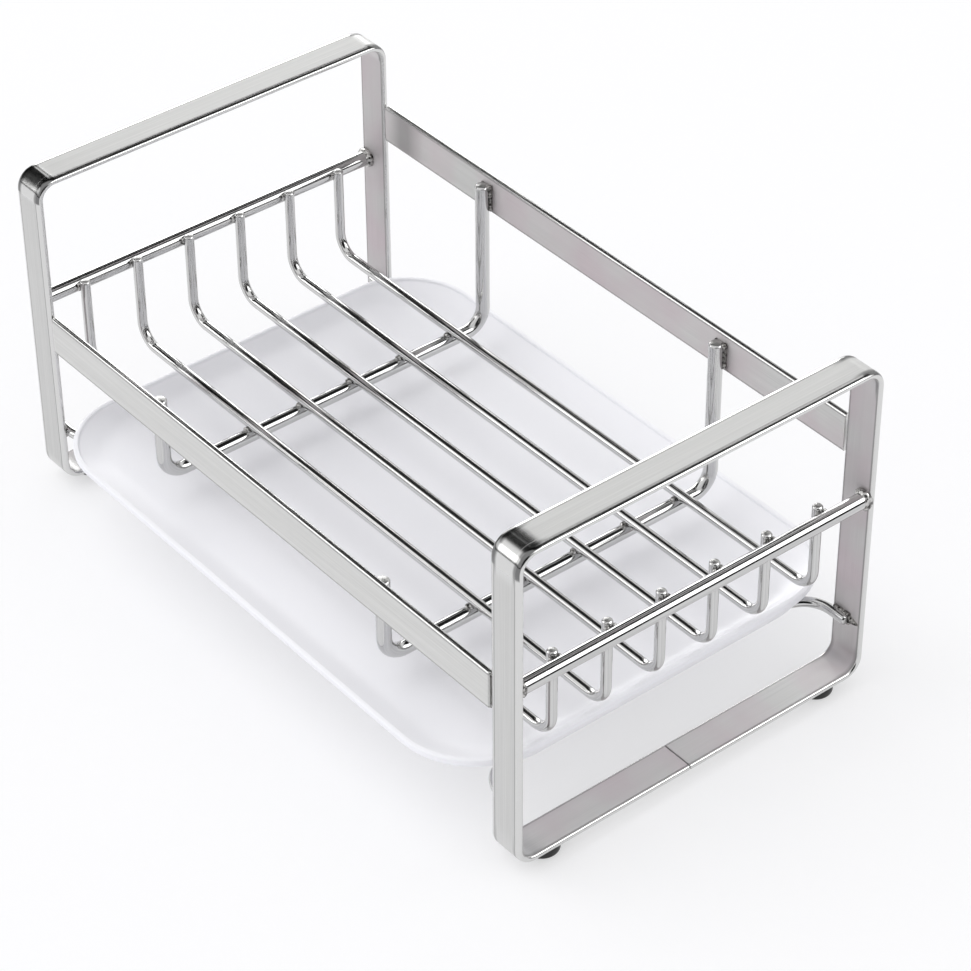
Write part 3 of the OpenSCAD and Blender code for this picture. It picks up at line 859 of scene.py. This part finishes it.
def layFloor(v):
    material, tree = newMaterial("plain_white_card")
    shader = addNode(tree, "BsdfPrincipled", {"Base Color": v["colour"], "Roughness": v["roughness"],
                                              "Specular IOR Level": v["specular"]})
    white = addNode(tree, "Emission", {"Color": v["white"], "Strength": 1.0})
    lift = addNode(tree, "Math", {"operation": "MULTIPLY", 1: v["lift"]}, {0: (rayShown(tree), 0)})
    mixed = addNode(tree, "MixShader", {}, {0: (lift, 0), 1: (shader, 0), 2: (white, 0)})
    addNode(tree, "OutputMaterial", {}, {"Surface": (mixed, 0)})
    edit = bmesh.new()
    bmesh.ops.create_grid(edit, x_segments=1, y_segments=1, size=v["size"])
    mesh = bpy.data.meshes.new("floor")
    edit.to_mesh(mesh)
    edit.free()
    mesh.materials.append(material)
    floor = placeObject("floor", mesh)


# A light tent, white all round. light: how strongly it lights the object. Steel mirrors parts as dim as dark,
# each given as a direction and the angles in degrees within which it is all dark and beyond which it is
# white. The angles of a round part are taken from its direction, those of a band from the plane square to it.
# The opening over the far left is where "over" and "along" meet, the skirting where "right" and "low" meet.
tent = {
    "white": "#FFFFFF", "light": 0.77, "dark": 0.015,
    "round": {"over": ((-0.34, 0.26, 0.90), 41.0, 50.0), "far": ((-0.615, 0.48, 0.62), 9.0, 13.0),
              "right": ((0.985, 0.17, 0.0), 56.0, 68.0), "near": ((0.80, -0.52, 0.36), 25.0, 34.0)},
    "band": {"along": ((-0.48, 0.78, -0.41), 12.0, 17.0), "low": ((0, 0, 1), 21.0, 26.0),
             "seam": ((0, 0, 1), 2.5, 5.0)}}


def hangTent(v):
    world = bpy.data.worlds.new("light_tent")
    world.use_nodes = True
    bpy.context.scene.world = world
    tree = world.node_tree
    tree.nodes.clear()
    place = addNode(tree, "TexCoord", {})
    parts = {}
    for kind, square in (("round", 0), ("band", 90)):
        for name, (towards, full, clear) in v[kind].items():
            facing = addNode(tree, "VectorMath",
                             {"operation": "DOT_PRODUCT", 1: Vector(towards).normalized()},
                             {0: (place, "Generated")})
            size = (facing, "Value")
            if square:
                size = (addNode(tree, "Math", {"operation": "ABSOLUTE"}, {0: size}), 0)
            edge = [math.cos(math.radians(square - angle)) for angle in (clear, full)]
            parts[name] = addNode(tree, "MapRange", {"interpolation_type": "SMOOTHSTEP", "From": edge},
                                  {"Value": size})
    for operation, name, other in (("MULTIPLY", "over", "along"), ("MULTIPLY", "right", "low"),
                                   ("MAXIMUM", "over", "far"), ("MAXIMUM", "over", "right"),
                                   ("MAXIMUM", "over", "seam"), ("MAXIMUM", "over", "near")):
        parts[name] = addNode(tree, "Math", {"operation": operation},
                              {0: (parts[name], 0), 1: (parts[other], 0)})
    pattern = addNode(tree, "MapRange", {"To": (1.0, v["dark"])}, {"Value": (parts["over"], 0)})
    ray = addNode(tree, "LightPath", {})
    opening = addNode(tree, "Math", {"operation": "MAXIMUM"}, {0: (pattern, 0), 1: (ray, "Is Camera Ray")})
    lighting = addNode(tree, "Background", {"Color": v["white"], "Strength": v["light"]})
    seen = addNode(tree, "Background", {"Color": v["white"]}, {"Strength": (opening, 0)})
    mixed = addNode(tree, "MixShader", {}, {0: (rayShown(tree), 0), 1: (lighting, 0), 2: (seen, 0)})
    addNode(tree, "OutputWorld", {}, {"Surface": (mixed, 0)})


# cards that only the steel mirrors: direction from the rack, distance in m, width and height in m, radiance
cards = {
    "front_left_card": ((-0.61, -0.68, 0.40), 1.1, (0.75, 0.42), 1.6),
    "far_left_card": ((-0.86, 0.42, 0.28), 1.1, (0.8, 0.5), 3.6),
    "far_right_card": ((0.64, 0.49, 0.59), 1.1, (0.8, 0.6), 2.6)}


def hangCard(name, towards, distance, size, radiance):
    card = bpy.data.lights.new(name, "AREA")
    card.shape, (card.size, card.size_y) = "RECTANGLE", size
    card.energy = radiance*math.pi*size[0]*size[1]
    holder = aimLamp(name, card, towards)
    holder.location = Vector(towards).normalized()*distance
    holder.visible_camera, holder.visible_diffuse = False, False


# a small black flag beside the left end, for the polished bend there: centre in mm, width along Y and height
flag = {"centre": (-165.0, -72.0, 134.0), "size": (105.0, 72.0), "black": "#060606"}


def hangFlag(v):
    material, tree = newMaterial("black_velvet_flag")
    cloth = addNode(tree, "BsdfDiffuse", {"Color": v["black"]})
    addNode(tree, "OutputMaterial", {}, {"Surface": (cloth, 0)})
    mesh = bpy.data.meshes.new("flag")
    y, z = (side/2*mm for side in v["size"])
    mesh.from_pydata([(0, -y, -z), (0, y, -z), (0, y, z), (0, -y, z)], [], [(0, 1, 2, 3)])
    mesh.materials.append(material)
    board = placeObject("flag", mesh)
    board.location = Vector(v["centre"])*mm
    board.visible_camera = board.visible_diffuse = board.visible_shadow = board.visible_transmission = False


# a very soft sun from the front left that the steel doesn't mirror, softness in degrees
key = {"towards": (-0.42, -0.36, 0.83), "strength": 0.95, "softness": 60.0}


def hangSun(v):
    sun = bpy.data.lights.new("soft_sun", "SUN")
    sun.energy, sun.angle = v["strength"], math.radians(v["softness"])
    aimLamp("soft_sun", sun, v["towards"]).visible_glossy = False


# angles in degrees, place, lens and sensor in mm, clip in m
view = {"azimuth": 51.15, "elevation": 38.2, "roll": -0.36, "place": (495.46, -384.54, 519.85),
        "lens": 126.94, "sensor": 36.0, "clip": (0.01, 20.0)}


def placeCamera(v):
    a, e = math.radians(v["azimuth"]), math.radians(v["elevation"])
    ahead = Vector((-math.sin(a)*math.cos(e), math.cos(a)*math.cos(e), -math.sin(e)))
    camera = placeObject("camera", bpy.data.cameras.new("camera"))
    camera.data.lens, camera.data.sensor_width = v["lens"], v["sensor"]
    camera.data.clip_start, camera.data.clip_end = v["clip"]
    camera.location = Vector(v["place"])*mm
    camera.rotation_mode = "QUATERNION"
    roll = Quaternion((0, 0, 1), math.radians(v["roll"]))
    camera.rotation_quaternion = ahead.to_track_quat("-Z", "Y") @ roll
    bpy.context.scene.camera = camera


layFloor(floorCard)
hangTent(tent)
for name, values in cards.items():
    hangCard(name, *values)
hangFlag(flag)
hangSun(key)
placeCamera(view)
bpy.context.scene.view_settings.view_transform = "Standard"
print("studio lit and camera placed")
